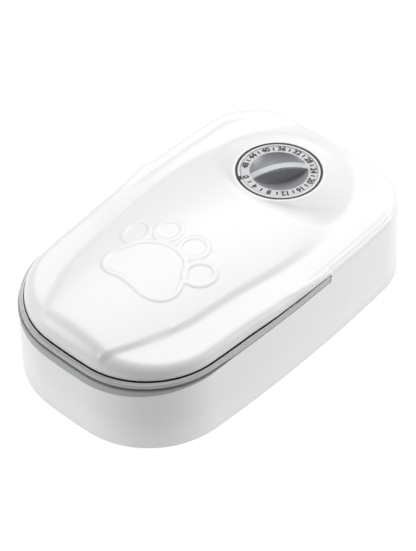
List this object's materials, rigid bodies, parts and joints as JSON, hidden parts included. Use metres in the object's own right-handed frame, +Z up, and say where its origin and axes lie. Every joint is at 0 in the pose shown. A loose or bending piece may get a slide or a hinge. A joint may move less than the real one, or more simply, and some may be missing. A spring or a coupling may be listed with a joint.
{
  "type": "automatic pet feeder",
  "caption": "Low rounded white pet feeder: chilled food bowl under a spring lid that a turning timer dial unlatches.",
  "frame": {"origin": "on the ground under the middle of the tub", "axes": "+Z up, +Y from the rounded nose to the hinge at the tail, +X to the right seen from the nose"},
  "size_m": [0.1502, 0.2422, 0.0729],
  "materials": {
    "shell_white": "gloss white moulded plastic",
    "tray_grey": "satin grey moulded plastic",
    "seal_grey": "soft satin rubber",
    "bowl_plastic": "satin food-safe plastic",
    "gel_pack": "blue gel pack",
    "foot_rubber": "matte rubber",
    "steel": "bright steel",
    "brass": "plain brass",
    "dial_grey": "satin pale grey plastic",
    "index_cream": "satin off-white plastic",
    "inner_plastic": "matte white plastic",
    "case_black": "matte black plastic",
    "acetal": "milky acetal",
    "copper_coil": "enamelled copper winding",
    "circuit": "green circuit board",
    "cell_jacket": "printed metal can"
  },
  "bodies": {
    "base": {"base_shell": "shell_white", "food_tray": "tray_grey", "tray_screws": "steel", "rim_seal": "seal_grey", "ice_pack": "gel_pack", "food_bowl": "bowl_plastic", "rubber_feet": "foot_rubber", "hinge_pin": "steel", "lid_springs": "steel", "latch_keeper": "acetal", "keeper_screws": "steel"},
    "lid": {"lid_shell": "shell_white", "lid_liner": "inner_plastic", "timer_case": "case_black", "case_screws": "steel", "index_ring": "index_cream", "idler_arbor": "steel", "rotor_pin": "steel", "motor_stator": "steel", "motor_coil": "copper_coil", "timer_board": "circuit", "pawl_pin": "steel", "pawl_spring": "steel", "battery_box": "inner_plastic", "door_pin": "steel", "battery_cell": "cell_jacket", "battery_contacts": "steel", "box_screws": "steel"},
    "dial": {"timer_knob": "dial_grey", "dial_shaft": "brass", "dial_gear": "brass", "latch_cam": "acetal"},
    "idler": {"idler_gear": "acetal"},
    "rotor": {"motor_rotor": "acetal"},
    "pawl": {"latch_pawl": "acetal"},
    "door": {"battery_door": "inner_plastic"}
  },
  "joints": [
    {"name": "lid_hinge", "type": "hinge", "parent": "base", "child": "lid", "pos_m": [0, 0.117, 0.0534], "axis": [-1, 0, 0], "range_deg": [0, 70]},
    {"name": "timer_dial", "type": "hinge", "parent": "lid", "child": "dial", "pos_m": [0, 0.068, 0.0686], "axis": [0, -0.0523, -0.9986], "range_deg": [0, 330]},
    {"name": "idler_spin", "type": "hinge", "parent": "lid", "child": "idler", "pos_m": [0, 0.08543, 0.05467], "axis": [0, -0.0523, -0.9986], "range_deg": [-1655, 5]},
    {"name": "rotor_spin", "type": "hinge", "parent": "lid", "child": "rotor", "pos_m": [-0.00926, 0.07915, 0.053], "axis": [0, -0.0523, -0.9986], "range_deg": [-5, 4405]},
    {"name": "latch_swing", "type": "hinge", "parent": "lid", "child": "pawl", "pos_m": [0.014, 0.07471, 0.04381], "axis": [0, -0.0523, -0.9986], "range_deg": [0, 9]},
    {"name": "battery_door_hinge", "type": "hinge", "parent": "lid", "child": "door", "pos_m": [0.059, 0.071, 0.039], "axis": [0, -1, 0], "range_deg": [0, 95]}
  ],
  "couplings": [
    {"joint": "idler_spin", "follows": "timer_dial", "ratio": -5},
    {"joint": "rotor_spin", "follows": "timer_dial", "ratio": 13.333},
    {"joint": "latch_swing", "follows": "timer_dial", "ratio": 0.027273}
  ]
}
